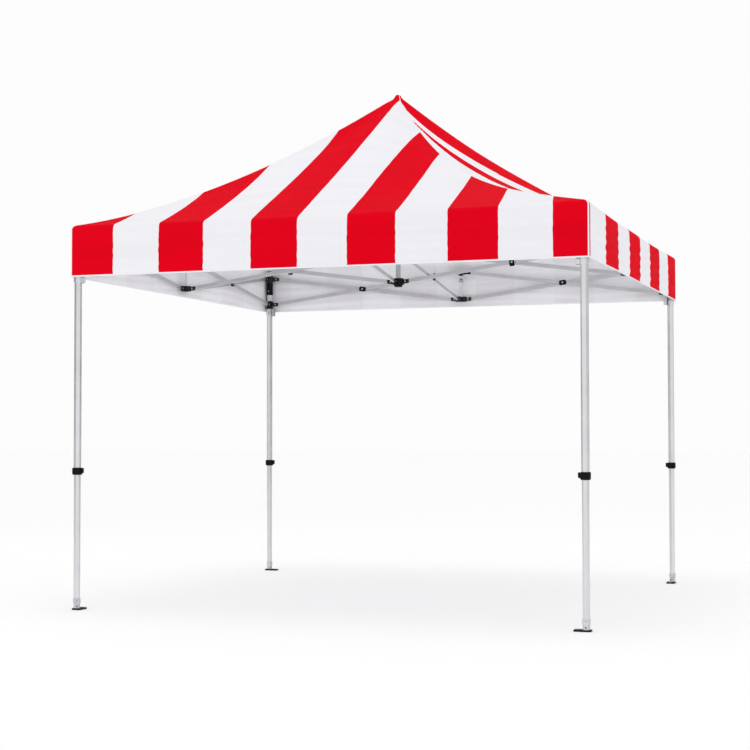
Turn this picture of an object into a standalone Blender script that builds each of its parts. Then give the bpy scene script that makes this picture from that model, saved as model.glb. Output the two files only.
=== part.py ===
"""Pop-up canopy, about 3 m square: telescoping legs, a scissor truss and a peaked striped roof.

Metres, +Z up, the front towards -Y. The origin is on the floor under the middle of the frame.
The frame is four equal quarters, each turned 90 degrees about Z, so every piece is made once
and placed four times. In a side's own axes, u runs along the side and v points outwards.
"""
import math

import bpy
import numpy as np
from mathutils import Matrix, Vector

# Driving sizes of the canopy
CANOPY_HALF = 1.525
VALANCE_BOTTOM = 1.94
EAVE = 2.24
PEAK = 3.195
CLOTH = 0.003
# How straight each ridge is, from 0 (deeply hollow) to 1 (straight), and how late its hollow part climbs
RIDGE_SHAPE = {"front_left": (0.35, 0.7), "front_right": (0.43, 2.6), "back_right": (0.30, 2.6),
               "back_left": (0.35, 0.7)}
# How sharply the panel's middle line is creased, from 0 to 1
MIDDLE_SOFT = 0.2
EAVE_SAG = 0.016
# Radius of the bend at the eave
SHOULDER = 0.010
PANEL_COLUMNS = 21

# Driving sizes of the frame
LEG_AT = 1.493
PIVOT_TOP = 2.188
PIVOT_LOW = 1.996
LUG = 0.052
PLANE = 0.009
BAR_HIGH = 0.025
BAR_THICK = 0.013

# Small sizes shared by the joints
PIN_R = 0.004
HOLE_R = 0.0046
SLIP = 0.0005
CHEEK = 0.004
CHEEK_REACH = 0.013
CHEEK_HALF = 0.012
SEAM = 0.0003
ROUND_SIDES = 24

# The bolt, block and rivet where two bars cross
SPACER_R = 0.010
CROSS_BLOCK = (0.044, 0.007, 0.030)
RIVET_R = 0.006
RIVET_HIGH = 0.0025

# Legs
UPPER_FLATS = 0.038
UPPER_BORE = 0.0344
LOWER_FLATS = 0.0334
LOWER_BORE = 0.0304
COLLAR_Z = 0.806
COLLAR_HIGH = 0.042
COLLAR_WIDE = 0.055
LOWER_LEG_TOP = 1.06
HEAD_FLATS = 0.045
HEAD_BOTTOM = 2.092
HEAD_TOP = 2.2355
SLIDER_FLATS = 0.046
SLIDER_SPAN = (-0.085, 0.026)
SLIDER_LUG = (0.020, 0.045, 0.006, 0.028)
FOOT_HALF = 0.052
FOOT_THICK = 0.008
SOCKET_FLATS = 0.039
SOCKET_TOP = 0.062
EDGE = 0.004

# Centre
MAST_R = 0.0155
MAST_SEAT = 0.026
MAST_PLAY = 0.0008
ROOF_TOP_HALF = MAST_R + SEAM
HUB_TOP_HALF = 0.022
HUB_LOW_HALF = 0.020
POST_R = 0.0055

FORK_FACE = LUG - BAR_HIGH / 2 - 0.003
RUN = LEG_AT - 2 * LUG
BAR_LENGTH = math.hypot(RUN, PIVOT_TOP - PIVOT_LOW)
REST_ANGLE = math.atan2(PIVOT_TOP - PIVOT_LOW, RUN)

SIDES = ("front", "right", "back", "left")
CORNERS = ("front_right", "back_right", "back_left", "front_left")

FINISHES = {
    "aluminium": ((0.62, 0.63, 0.65, 1.0), 0.38, 0.9),
    "black_plastic": ((0.012, 0.012, 0.013, 1.0), 0.5, 0.0),
    "foot_metal": ((0.03, 0.03, 0.032, 1.0), 0.45, 0.6),
    "striped_cloth": ((0.80, 0.02, 0.03, 1.0), 0.75, 0.0),
}


def clear_scene():
    """Take away whatever the scene starts with."""
    for old in list(bpy.data.objects):
        bpy.data.objects.remove(old, do_unlink=True)


def finish(name):
    """A Principled material with this finish's colour, roughness and metallic."""
    found = bpy.data.materials.get(name)
    if found:
        return found
    colour, roughness, metallic = FINISHES[name]
    made = bpy.data.materials.new(name)
    made.use_nodes = True
    shader = made.node_tree.nodes["Principled BSDF"]
    shader.inputs["Base Color"].default_value = colour
    shader.inputs["Roughness"].default_value = roughness
    shader.inputs["Metallic"].default_value = metallic
    made.diffuse_color = colour
    return made


# Plain solids: each is a list of points and a list of faces


def loft(rings):
    """A solid from equal rings of points, closed at both ends."""
    count = len(rings[0])
    points = [tuple(p) for ring in rings for p in ring]
    faces = [tuple(reversed(range(count)))]
    for i in range(len(rings) - 1):
        for j in range(count):
            k = (j + 1) % count
            low, high = i * count, (i + 1) * count
            faces.append((low + j, low + k, high + k, high + j))
    last = (len(rings) - 1) * count
    faces.append(tuple(last + j for j in range(count)))
    return points, faces


def box(x, y, z):
    """A box between two bounds on each axis."""
    ring = [(x[0], y[0]), (x[1], y[0]), (x[1], y[1]), (x[0], y[1])]
    return loft([[(a, b, h) for a, b in ring] for h in z])


def polygon(sides, radius, turn=0.0):
    """Corners of a regular polygon, counter-clockwise."""
    steps = [turn + 2 * math.pi * i / sides for i in range(sides)]
    return [(radius * math.cos(a), radius * math.sin(a)) for a in steps]


def upright(sides, radius, z_list, turn=0.0, centre=(0.0, 0.0), scale=None):
    """An upright prism; scale gives each level's share of the radius."""
    scale = scale or [1.0] * len(z_list)
    rings = []
    for z, share in zip(z_list, scale):
        corners = polygon(sides, radius * share, turn)
        rings.append([(centre[0] + a, centre[1] + b, z) for a, b in corners])
    return loft(rings)


def hexagon(flats, z_list, scale=None):
    """An upright hexagonal prism with flats facing front and back."""
    return upright(6, flats / math.sqrt(3), z_list, 0.0, scale=scale)


def pin(axis, centre, low, high, radius, sides=12):
    """A round pin along "x" or "y" between two bounds; centre holds the other two axes."""
    corners = polygon(sides, radius, math.pi / sides)
    if axis == "y":
        return loft([[(centre[0] + a, h, centre[1] - b) for a, b in corners] for h in (low, high)])
    return loft([[(h, centre[0] + a, centre[1] + b) for a, b in corners] for h in (low, high)])


def bar_body():
    """A flat bar along x with rounded ends and softened long edges, its pivots at 0 and BAR_LENGTH."""
    half, soft = BAR_HIGH / 2, 0.0012
    steps = [math.pi * i / 8 for i in range(9)]

    def outline(r):
        far = [(BAR_LENGTH + r * math.sin(a), -r * math.cos(a)) for a in steps]
        near = [(-r * math.sin(a), r * math.cos(a)) for a in steps]
        return far + near

    deep = BAR_THICK / 2
    levels = ((deep, half - soft), (deep - soft, half), (soft - deep, half), (-deep, half - soft))
    return loft([[(x, y, z) for x, z in outline(r)] for y, r in levels])


def object_from(name, solid):
    """A bare object holding one solid."""
    mesh = bpy.data.meshes.new(name)
    mesh.from_pydata(solid[0], [], solid[1])
    mesh.update()
    made = bpy.data.objects.new(name, mesh)
    bpy.context.scene.collection.objects.link(made)
    return made


def merged(name, adds, cuts=()):
    """One mesh: the first solid with the others joined on, then the cuts taken out."""
    base = object_from(name, adds[0])
    tools = []
    for kind, group in (("UNION", adds[1:]), ("DIFFERENCE", cuts)):
        for solid in group:
            tool = object_from(name + "_tool", solid)
            step = base.modifiers.new(kind.lower(), "BOOLEAN")
            step.operation = kind
            step.solver = "EXACT"
            step.object = tool
            tools.append(tool)
    bpy.context.view_layer.update()
    graph = bpy.context.evaluated_depsgraph_get()
    mesh = bpy.data.meshes.new_from_object(base.evaluated_get(graph))
    mesh.name = name
    for spent in tools + [base]:
        bpy.data.objects.remove(spent, do_unlink=True)
    return mesh


def place(name, mesh, slot, matrix, smooth=False):
    """A named part: its own copy of the mesh, one material, standing at matrix."""
    own = mesh.copy()
    own.name = name
    own.materials.clear()
    own.materials.append(finish(slot))
    for face in own.polygons:
        face.use_smooth = smooth
    made = bpy.data.objects.new(name, own)
    bpy.context.scene.collection.objects.link(made)
    made.matrix_world = matrix
    return made


def turned(k):
    """The quarter turn that takes the front side to side k."""
    return Matrix.Rotation(math.radians(90) * k, 4, "Z")


def on_side(k, u, v, z):
    """Where a point of side k's axes is in the whole canopy's axes."""
    return turned(k) @ Vector((u, -v, z))


# Forks: two cheeks and a pin that hold a bar's end


def fork(along, sign, plane, height, root):
    """Two cheeks and a pin at LUG from the middle, standing out along x or y on the side of sign.

    plane is where the bar's middle plane lies on the other axis; root is where the cheeks start.
    """
    reach = LUG + CHEEK_REACH
    inner = BAR_THICK / 2 + SLIP
    parts = []
    spans = [(plane - inner - CHEEK, plane - inner), (plane + inner, plane + inner + CHEEK)]
    for low, high in spans:
        run = sorted((sign * root, sign * reach))
        level = (height - CHEEK_HALF, height + CHEEK_HALF)
        parts.append(box(run, (low, high), level) if along == "x" else box((low, high), run, level))
    span = (plane - inner - CHEEK / 2, plane + inner + CHEEK / 2)
    if along == "x":
        parts.append(pin("y", (sign * LUG, height), span[0], span[1], PIN_R))
    else:
        parts.append(pin("x", (sign * LUG, height), span[0], span[1], PIN_R))
    return parts


def block(along, sign, plane, height, root, face, z_half):
    """The solid root that a fork's cheeks grow from."""
    wide = BAR_THICK / 2 + SLIP + CHEEK
    run = sorted((sign * root, sign * face))
    across = (plane - wide, plane + wide)
    level = (height - z_half, height + z_half)
    return box(run, across, level) if along == "x" else box(across, run, level)


# Bars


def down_bar(cap_side):
    """The bar that runs from a low connector up to a leg or the top hub, with its crossing bolt.

    The bolt goes through the other bar and carries a black block on cap_side of it (+1 or -1 on y).
    """
    mid = BAR_LENGTH / 2
    bite = cap_side * 0.001
    long, deep, high = CROSS_BLOCK
    near = cap_side * BAR_THICK / 2 - bite
    spacer_end = cap_side * (2 * PLANE - BAR_THICK / 2 - SLIP)
    block_face = cap_side * (2 * PLANE + BAR_THICK / 2 + SLIP)
    block_back = block_face + cap_side * deep
    rivet_top = block_back + cap_side * RIVET_HIGH
    spacer = pin("y", (mid, 0), *sorted((near, spacer_end)), SPACER_R, 16)
    bolt = pin("y", (mid, 0), *sorted((near, block_face + 2 * bite)), PIN_R)
    cap = box((mid - long / 2, mid + long / 2), sorted((block_face, block_back)), (-high / 2, high / 2))
    rivet = pin("y", (mid, 0), *sorted((block_back - bite, rivet_top)), RIVET_R)
    ends = [pin("y", (x, 0), -BAR_HIGH, BAR_HIGH, HOLE_R, 16) for x in (0, BAR_LENGTH)]
    return merged("down_bar", [bar_body(), spacer, bolt, cap, rivet], ends)


def up_bar():
    """The bar that runs from a leg slider or the low hub up to a top connector."""
    holes = [pin("y", (x, 0), -BAR_HIGH, BAR_HIGH, HOLE_R, 16) for x in (0, BAR_LENGTH / 2, BAR_LENGTH)]
    return merged("up_bar", [bar_body()], holes)


def bar_matrix(k, pivot, direction, angle):
    """Stand a bar's x axis from pivot (u, v, z) along direction ("u+", "u-" or "v+"), raised by angle."""
    here = Matrix.Translation(on_side(k, *pivot))
    heading = {"u+": 0.0, "u-": math.pi, "v+": -math.pi / 2}[direction]
    return here @ turned(k) @ Matrix.Rotation(heading, 4, "Z") @ Matrix.Rotation(-angle, 4, "Y")


def make_bars():
    """All sixteen side bars and eight cross arms."""
    down = {side: down_bar(side) for side in (1, -1)}
    up = up_bar()
    inner = LEG_AT - LUG
    for k, side in enumerate(SIDES):
        for direction, end, cap in (("u+", "a", 1), ("u-", "b", -1)):
            sign = 1 if direction == "u+" else -1
            start = (sign * LUG, LEG_AT + PLANE, PIVOT_LOW)
            place(f"{side}_bar_down_{end}", down[cap], "aluminium",
                  bar_matrix(k, start, direction, REST_ANGLE))
            middle = (sign * (LUG + RUN / 2), LEG_AT - PLANE, (PIVOT_TOP + PIVOT_LOW) / 2)
            place(f"{side}_bar_up_{end}", up, "aluminium",
                  bar_matrix(k, middle, direction, -REST_ANGLE)
                  @ Matrix.Translation((-BAR_LENGTH / 2, 0, 0)))
        # the arm's x axis runs outwards from the hub and falls, so its cap side is the u- side
        place(f"{side}_arm_down", down[-1], "aluminium",
              bar_matrix(k, (PLANE, LUG, PIVOT_TOP), "v+", -REST_ANGLE))
        middle = (-PLANE, (LUG + inner) / 2, (PIVOT_TOP + PIVOT_LOW) / 2)
        place(f"{side}_arm_up", up, "aluminium",
              bar_matrix(k, middle, "v+", REST_ANGLE) @ Matrix.Translation((-BAR_LENGTH / 2, 0, 0)))


# Connectors in the middle of each side


def make_connectors():
    """The low and top connectors, each with two forks for side bars and one for its cross arm."""
    root, face = 0.030, FORK_FACE
    low = [block("x", 1, -PLANE, 0, -face, face, 0.018)]
    low.append(block("y", 1, PLANE, 0, -PLANE, face, 0.018))
    for sign in (1, -1):
        low += fork("x", sign, -PLANE, 0, root)
    low += fork("y", 1, PLANE, 0, root)
    post_top = PIVOT_TOP - PIVOT_LOW - 0.024
    low.append(upright(10, POST_R, (0.010, post_top)))
    low_mesh = merged("connector_low", low)

    top = [block("x", 1, PLANE, 0, -face, face, 0.013)]
    top.append(block("y", 1, -PLANE, 0, -0.004, face, 0.013))
    for sign in (1, -1):
        top += fork("x", sign, PLANE, 0, root)
    top += fork("y", 1, -PLANE, 0, root)
    top.append(box((-0.012, 0.012), (-0.010, 0.012), (-0.021, -0.012)))
    top_mesh = merged("connector_top", top)

    for k, side in enumerate(SIDES):
        for name, mesh, height in (("low", low_mesh, PIVOT_LOW), ("top", top_mesh, PIVOT_TOP)):
            here = Matrix.Translation(on_side(k, 0, LEG_AT, height)) @ turned(k)
            place(f"{side}_connector_{name}", mesh, "black_plastic", here)


# Hubs and mast in the middle


def make_centre():
    """The top hub, the low hub and the mast that stands on the low hub."""
    bore = upright(ROUND_SIDES, MAST_R + MAST_PLAY, (-LUG, LUG))
    root, face = 0.026, FORK_FACE
    spread = ((1, "y", -1), (1, "x", 1), (-1, "y", 1), (-1, "x", -1))

    def hub(plane, z_half):
        parts = [upright(16, face - 0.001, (-z_half, z_half), math.pi / 16)]
        for flip, along, sign in spread:
            parts.append(block(along, sign, flip * plane, 0, 0.020, face, 0.014))
            parts += fork(along, sign, flip * plane, 0, root)
        return parts

    top_mesh = merged("hub_top", hub(PLANE, HUB_TOP_HALF), [bore])
    place("hub_top", top_mesh, "black_plastic", Matrix.Translation((0, 0, PIVOT_TOP)))

    low = hub(-PLANE, HUB_LOW_HALF)
    low.append(upright(20, 0.030, (-0.034, -0.015), scale=[0.8, 1.0]))
    seat = upright(ROUND_SIDES, MAST_R + SEAM, (-MAST_SEAT, LUG))
    low_mesh = merged("hub_low", low, [seat])
    place("hub_low", low_mesh, "black_plastic", Matrix.Translation((0, 0, PIVOT_LOW)))

    foot = PIVOT_LOW - MAST_SEAT + SEAM
    tip = PEAK - 0.002
    heights = [foot, tip - 0.014, tip - 0.006, tip - 0.0015, tip]
    shares = [1.0, 1.0, 0.86, 0.55, 0.28]
    mast_mesh = merged("mast", [upright(ROUND_SIDES, MAST_R, heights, scale=shares)])
    mast_mesh.transform(Matrix.Translation((0, 0, -PIVOT_LOW)))
    place("mast", mast_mesh, "aluminium", Matrix.Translation((0, 0, PIVOT_LOW)))


# Legs


def make_legs():
    """Four legs: upper tube with its head bracket, slider, collar, lower tube and foot."""
    lift = -PIVOT_TOP
    sunk = 0.006
    root = 0.030
    head = [hexagon(UPPER_FLATS, (COLLAR_Z - sunk, HEAD_TOP))]
    head.append(hexagon(HEAD_FLATS, (HEAD_BOTTOM, HEAD_BOTTOM + 2 * EDGE, HEAD_TOP - sunk, HEAD_TOP),
                        scale=[0.94, 1, 1, 0.92]))
    for along, sign, plane in (("x", -1, -PLANE), ("y", 1, PLANE)):
        head.append(block(along, sign, plane, PIVOT_TOP, 0.0205, FORK_FACE, 0.016))
        head += fork(along, sign, plane, PIVOT_TOP, root)
    inside = hexagon(UPPER_BORE, (0.5, HEAD_TOP - sunk))
    upper_mesh = merged("leg_upper", head, [inside])
    upper_mesh.transform(Matrix.Translation((0, 0, lift)))

    slide_bore = UPPER_FLATS + 0.0008
    low, high = SLIDER_SPAN
    slider = [hexagon(SLIDER_FLATS, (low, low + EDGE, high - EDGE, high), scale=[0.95, 1, 1, 0.95])]
    for along, sign, plane, wall in (("x", -1, PLANE, 0.0235), ("y", 1, -PLANE, 0.0205)):
        slider.append(block(along, sign, plane, 0, wall, FORK_FACE, 0.015))
        slider += fork(along, sign, plane, 0, root)
    near, far, half_wide, tall = SLIDER_LUG
    lug_level = (low + EDGE / 2, low + EDGE / 2 + tall)
    slider.append(box((-far, -near), (-half_wide, half_wide), lug_level))
    slider.append(box((-half_wide, half_wide), (near, far), lug_level))
    slider_mesh = merged("slider", slider, [hexagon(slide_bore, (-0.1, 0.1))])

    half = COLLAR_HIGH / 2
    collar = [upright(8, COLLAR_WIDE / 2 / math.cos(math.pi / 8), (-half, EDGE - half, half - EDGE, half),
                      math.pi / 8, scale=[0.93, 1, 1, 0.93])]
    collar.append(box((-0.040, -0.020), (-0.011, 0.011), (-0.013, 0.014)))
    collar_cuts = [hexagon(LOWER_FLATS + 2 * SLIP, (-0.1, 0.1))]
    collar_cuts.append(hexagon(UPPER_FLATS + 2 * SEAM, (-sunk - SEAM, 0.1)))
    collar_mesh = merged("collar", collar, collar_cuts)

    lower = merged("leg_lower", [hexagon(LOWER_FLATS, (FOOT_THICK + SEAM, LOWER_LEG_TOP))],
                   [hexagon(LOWER_BORE, (-0.1, LOWER_LEG_TOP + 0.1))])

    plate = upright(4, FOOT_HALF * math.sqrt(2), (0, 0.0055, FOOT_THICK), math.pi / 4, scale=[1, 1, 0.96])
    socket = hexagon(SOCKET_FLATS, (0.006, SOCKET_TOP - EDGE, SOCKET_TOP), scale=[1, 1, 0.97])
    tab = box((-0.047, -0.041), (-0.008, 0.008), (0.006, 0.026))
    foot_mesh = merged("foot", [plate, socket, tab],
                       [hexagon(LOWER_FLATS + 2 * SEAM, (FOOT_THICK, 0.1))])

    for k, corner in enumerate(CORNERS):
        base = Matrix.Translation(turned(k) @ Vector((LEG_AT, -LEG_AT, 0))) @ turned(k)
        place(f"{corner}_leg_upper", upper_mesh, "aluminium", base @ Matrix.Translation((0, 0, PIVOT_TOP)))
        place(f"{corner}_slider", slider_mesh, "black_plastic",
              base @ Matrix.Translation((0, 0, PIVOT_LOW)))
        place(f"{corner}_collar", collar_mesh, "black_plastic", base @ Matrix.Translation((0, 0, COLLAR_Z)))
        place(f"{corner}_leg_lower", lower, "aluminium", base)
        place(f"{corner}_foot", foot_mesh, "foot_metal", base)


# Canopy


def panel_surface(left, right, inset):
    """One panel's sheet, inset inwards from the outer face, as rows from the valance's hem to the peak.

    The rows run up the valance, round the eave's bend and up the roof. The cloth is stretched straight
    from the eave to the hollow ridges: its slope at a place depends on which point of the ridge lies
    straight above it. The ridges' shapes go from left's to right's along the panel. The eave sags a
    little between the legs.
    """
    drops = np.linspace(VALANCE_BOTTOM, EAVE - SHOULDER, 3)
    bends = np.linspace(0, math.pi / 2, 3)[1:]
    reaches = np.linspace(CANOPY_HALF - SHOULDER, ROOF_TOP_HALF, 15)[1:]
    span = np.linspace(-1, 1, PANEL_COLUMNS)[None, :]
    out = np.concatenate([
        np.full(len(drops), CANOPY_HALF - inset),
        CANOPY_HALF - SHOULDER + (SHOULDER - inset) * np.cos(bends),
        reaches])
    flat = np.concatenate([
        drops,
        EAVE - SHOULDER + (SHOULDER - inset) * np.sin(bends),
        np.full(len(reaches), EAVE - inset)])
    bent = (np.arange(len(out)) >= len(drops))[:, None]
    run = CANOPY_HALF - SHOULDER
    rise = np.clip((run - out) / run, 0, 1)[:, None]
    share = (span + 1) / 2
    straight = left[0] + (right[0] - left[0]) * share
    power = left[1] + (right[1] - left[1]) * share
    meets = out[:, None] * np.sqrt(span ** 2 + MIDDLE_SOFT ** 2 * (1 - span ** 2))
    ahead = np.clip(1 - meets / run, 0, 1)
    climb = (PEAK - EAVE) * rise * (straight + (1 - straight) * ahead ** power)
    sag = EAVE_SAG * (1 - span ** 2) * (1 - rise) * bent
    u = span * (out[:, None] - SEAM / math.sqrt(2))
    v = np.broadcast_to(out[:, None], u.shape)
    return np.stack([u, -v, flat[:, None] + climb - sag], axis=-1)


def sheet_solid(outer, inner):
    """A closed solid between two equal grids of points."""
    rows, columns = outer.shape[:2]
    points = np.concatenate([outer.reshape(-1, 3), inner.reshape(-1, 3)])
    shift = rows * columns
    faces = []
    for i in range(rows - 1):
        for j in range(columns - 1):
            a = i * columns + j
            faces.append((a, a + 1, a + 1 + columns, a + columns))
            faces.append((shift + a + columns, shift + a + 1 + columns, shift + a + 1, shift + a))
    edge = list(range(columns))
    edge += [i * columns + columns - 1 for i in range(1, rows)]
    edge += [(rows - 1) * columns + j for j in range(columns - 2, -1, -1)]
    edge += [i * columns for i in range(rows - 2, 0, -1)]
    for a, b in zip(edge, edge[1:] + edge[:1]):
        faces.append((b, a, shift + a, shift + b))
    return [tuple(p) for p in points], faces


def make_canopy():
    """Four cloth panels, each a roof triangle with its valance, mitred at the corners."""
    for k, side in enumerate(SIDES):
        left, right = RIDGE_SHAPE[CORNERS[k - 1]], RIDGE_SHAPE[CORNERS[k]]
        solid = sheet_solid(panel_surface(left, right, 0.0), panel_surface(left, right, CLOTH))
        mesh = merged(f"{side}_canopy", [solid])
        mesh.transform(Matrix.Translation((0, LEG_AT, -PIVOT_TOP)))
        here = Matrix.Translation(on_side(k, 0, LEG_AT, PIVOT_TOP)) @ turned(k)
        place(f"{side}_canopy", mesh, "striped_cloth", here, smooth=True)


def main():
    clear_scene()
    make_canopy()
    make_legs()
    make_connectors()
    make_centre()
    make_bars()


main()
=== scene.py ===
"""Pop-up canopy with a striped top: its cloth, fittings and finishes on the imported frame.

Metres, +Z up, the front towards -Y. The frame is four equal quarters, each turned 90 degrees about Z.
In a side's own axes, u runs along the side and v points outwards.
"""
import math

import bmesh
import bpy
import numpy as np
from bpy.props import FloatProperty, FloatVectorProperty, PointerProperty
from mathutils import Matrix, Vector


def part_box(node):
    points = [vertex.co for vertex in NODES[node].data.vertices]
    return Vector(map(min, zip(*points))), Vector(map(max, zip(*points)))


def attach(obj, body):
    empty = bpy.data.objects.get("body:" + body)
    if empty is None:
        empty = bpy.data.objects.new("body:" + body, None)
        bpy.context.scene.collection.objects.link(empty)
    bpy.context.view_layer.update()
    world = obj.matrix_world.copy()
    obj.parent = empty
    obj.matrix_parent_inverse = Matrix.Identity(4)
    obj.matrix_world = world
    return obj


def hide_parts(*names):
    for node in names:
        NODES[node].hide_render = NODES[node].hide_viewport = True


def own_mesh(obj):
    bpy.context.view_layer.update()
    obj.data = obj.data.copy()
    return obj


bl_info = {
    "name": "Striped pop-up canopy",
    "version": (1, 0, 0),
    "blender": (4, 5, 0),
    "location": "View3D > Sidebar > Canopy",
    "description": "Cloth, fittings and finishes of a folding canopy",
    "category": "Object",
}

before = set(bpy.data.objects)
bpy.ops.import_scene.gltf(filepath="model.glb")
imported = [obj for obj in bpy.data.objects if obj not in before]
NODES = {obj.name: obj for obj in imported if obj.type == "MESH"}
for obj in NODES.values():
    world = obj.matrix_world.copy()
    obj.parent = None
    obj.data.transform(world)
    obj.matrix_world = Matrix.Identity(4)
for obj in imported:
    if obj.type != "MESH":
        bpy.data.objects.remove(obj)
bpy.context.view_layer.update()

SIDES = ("front", "right", "back", "left")
CORNERS = ("front_right", "back_right", "back_left", "front_left")

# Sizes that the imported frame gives
CANOPY_HALF = -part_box("front_canopy")[0].y
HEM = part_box("front_canopy")[0].z
LEG_AT = sum(end.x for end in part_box("front_right_leg_lower")) / 2
COLLAR_Z = sum(end.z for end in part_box("front_right_collar")) / 2
MAST_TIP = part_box("mast")[1].z

# Sizes that repeat the part's source
EAVE = 2.24
PEAK = 3.195
SHOULDER = 0.022
EAVE_LIFT = 0.003
EAVE_SAG = 0.016
RIDGE_SHAPE = {"front_left": (0.35, 0.7), "front_right": (0.43, 2.6), "back_right": (0.3, 2.6),
               "back_left": (0.35, 0.7)}
MIDDLE_SOFT = 0.2
PIVOT_TOP = 2.188
PIVOT_LOW = 1.996
LUG = 0.052
PLANE = 0.009
BAR_THICK = 0.013
FORK_WIDE = 0.011
LOWER_FLATS = 0.0334
UPPER_FLATS = 0.038
HEAD_BOTTOM = 2.092

# Where the cloth's pieces meet, outwards from the middle, and the rows of the stretch up to each place
BAND_START = 1.441
CROWN_HALF = 0.72
EAVE_ROWS = 8
BAND_ROWS = 29
# Columns: how many lie at even steps, and where the edge's own lie, in tape widths from the edge
COLUMNS = 112
EDGE_STEPS = np.array([0, 0.45, 0.85, 1.0, 1.15, 2.2])
TAPE_THICK = 0.0009
TAPE_RISE = np.array([1.0, 1.0, 0.9, 0.0, 0.0, 0.0]) * TAPE_THICK
# The round cap of cloth over the mast's tip
CAP_R = 0.0235
CAP_DEEP = 0.021
CAP_LIFT = 0.0045

# Surfaces: where an edge counts as sharp, how metallic the metal is, and the marks' scale along a tube
SHARP_ANGLE = math.radians(38)
METALLIC = 0.85
MARK_STRETCH = 0.02

# Small fittings: heights, and distances outwards from a leg's middle
POST_BRACKET_Z = 2.128
POST_CAP_Z = 2.1415
SLIDER_LUG_Z = 1.9365
SLIDER_LUG_AT = 0.0335
HEAD_SLEEVE_Z = 2.115
HEAD_RIVET_Z = 2.098
HEAD_RIVET_AT = 0.023
LEVER_AT = 0.0305
THUMB_AT = 0.035
RIVET_Z = 0.007
FOOT_SLEEVE_FLATS = 0.0362
FOOT_RING = 0.0412 / FOOT_SLEEVE_FLATS
FOOT_TOP = 0.01
FOOT_SHIFT = (-0.02, 0.006, 0)
EYELET_AT = (-0.05, 0.008, 0)


def tint(name, place, default):
    """The colour of a place, which a user may change."""
    return FloatVectorProperty(
        name=name, description=f"Colour of the {place}", default=default,
        subtype="COLOR", size=3, min=0, max=1)


def number(name, description, default, **more):
    """A number that a user may change."""
    return FloatProperty(name=name, description=description, default=default, **more)


def length(name, description, default):
    """A length in metres that a user may change."""
    return number(name, description, default, unit="LENGTH")


class CanopyCloth(bpy.types.PropertyGroup):
    red: tint("Red", "red stripes", (0.8, 0.001, 0.012))
    white: tint("White", "white stripes", (0.9, 0.9, 0.94))
    # the lining's light colour is partly its own coat and partly painted light, for the light that comes
    # through the thin cloth
    lining: tint("Lining", "cloth's inner face", (0.93, 0.93, 0.955))
    front_period: length("Front repeat", "Width of a red and a white stripe on the front and back", 0.5725)
    front_white: length("Front white", "Width of a white stripe on the front and back", 0.293)
    front_start: length("Front start", "Where a white stripe of the front begins, from the middle", -0.1035)
    side_period: length("Side repeat", "Width of a red and a white stripe on the right and left", 0.743)
    side_white: length("Side white", "Width of a white stripe on the right and left", 0.36)
    side_start: length(
        "Side start", "Where a white stripe of the right side begins, from the middle", -1.4197)
    thickness: length("Thickness", "Thickness of the cloth", 0.001)
    ripple: length("Ripple", "Height of the valance's ripples", 0.005)
    ripple_length: length("Ripple length", "Distance from one ripple to the next", 0.055)
    hem_tape: length("Hem tape", "Height of the white tape on the hem", 0.0085)
    corner_tape: length("Corner tape", "Width of the white tape on one side of a corner", 0.0065)
    ridge_tape: length("Ridge tape", "Width of the white tape on one side of a ridge", 0.0048)


class CanopyFrame(bpy.types.PropertyGroup):
    metal: tint("Aluminium", "legs' tubes", (0.745, 0.75, 0.77))
    bar_metal: tint("Bar aluminium", "bars and arms", (0.59, 0.595, 0.615))
    black: tint("Black fittings", "black fittings", (0.005, 0.005, 0.0055))
    grey: tint("Grey fittings", "grey lugs and brackets", (0.4, 0.41, 0.43))
    pale: tint("Pale sleeves", "feet's pale sleeves", (0.62, 0.625, 0.65))
    block_long: length("Block length", "Length of the block where two bars cross", 0.0506)
    block_high: length("Block height", "Height of the block where two bars cross", 0.0352)
    collar_wide: length("Collar width", "Width of the height collar", 0.0535)
    collar_high: length("Collar height", "Height of the height collar", 0.0415)
    foot_long: length("Foot length", "Length of the foot plate", 0.092)
    foot_wide: length("Foot width", "Width of the foot plate", 0.056)


class CanopyStage(bpy.types.PropertyGroup):
    floor_size: length("Floor", "Length of the pale floor's edge", 160.0)
    floor_colour: tint("Floor colour", "pale floor", (0.93, 0.93, 0.935))
    world_light: number("World light", "Strength of the even light from all round", 0.9)
    world_seen: number("Room tone", "How bright the room looks behind the canopy", 0.98)
    key_light: number("Key light", "Power of the main lamp", 80.0, subtype="POWER")
    floor_glow: number("Floor glow", "Light that keeps the floor as pale as the room", 0.13)
    focal_length: number("Focal length", "The camera's focal length", 79.411, subtype="DISTANCE_CAMERA")


# Shared surface tools


def grid_faces(rows, cols, wrap_rows=False, wrap_cols=False):
    """Four-cornered faces of a grid of points, facing along the column step crossed with the row step."""
    grid = np.arange(rows * cols).reshape(rows, cols)
    grid = np.pad(grid, ((0, wrap_rows), (0, wrap_cols)), "wrap")
    return np.stack([grid[:-1, :-1], grid[:-1, 1:], grid[1:, 1:], grid[1:, :-1]], -1).reshape(-1, 4)


def smooth_step(value, low, high):
    """0 below low, 1 above high, and 3t^2 - 2t^3 between them."""
    t = np.clip((value - low) / (high - low), 0, 1)
    return t * t * (3 - 2 * t)


def bent(value, power):
    """A sine or cosine to the power 2/p, with its sign."""
    return np.sign(value) * np.abs(value) ** (2 / power)


def rounded_outline(half_x, half_y, power, count):
    """Points with |x/a|^p + |y/b|^p = 1, counter-clockwise."""
    around = 2 * np.pi * np.arange(count) / count
    return np.stack([half_x * bent(np.cos(around), power), half_y * bent(np.sin(around), power)], -1)


def circle(radius, count):
    """A round outline."""
    return rounded_outline(radius, radius, 2.0, count)


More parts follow.
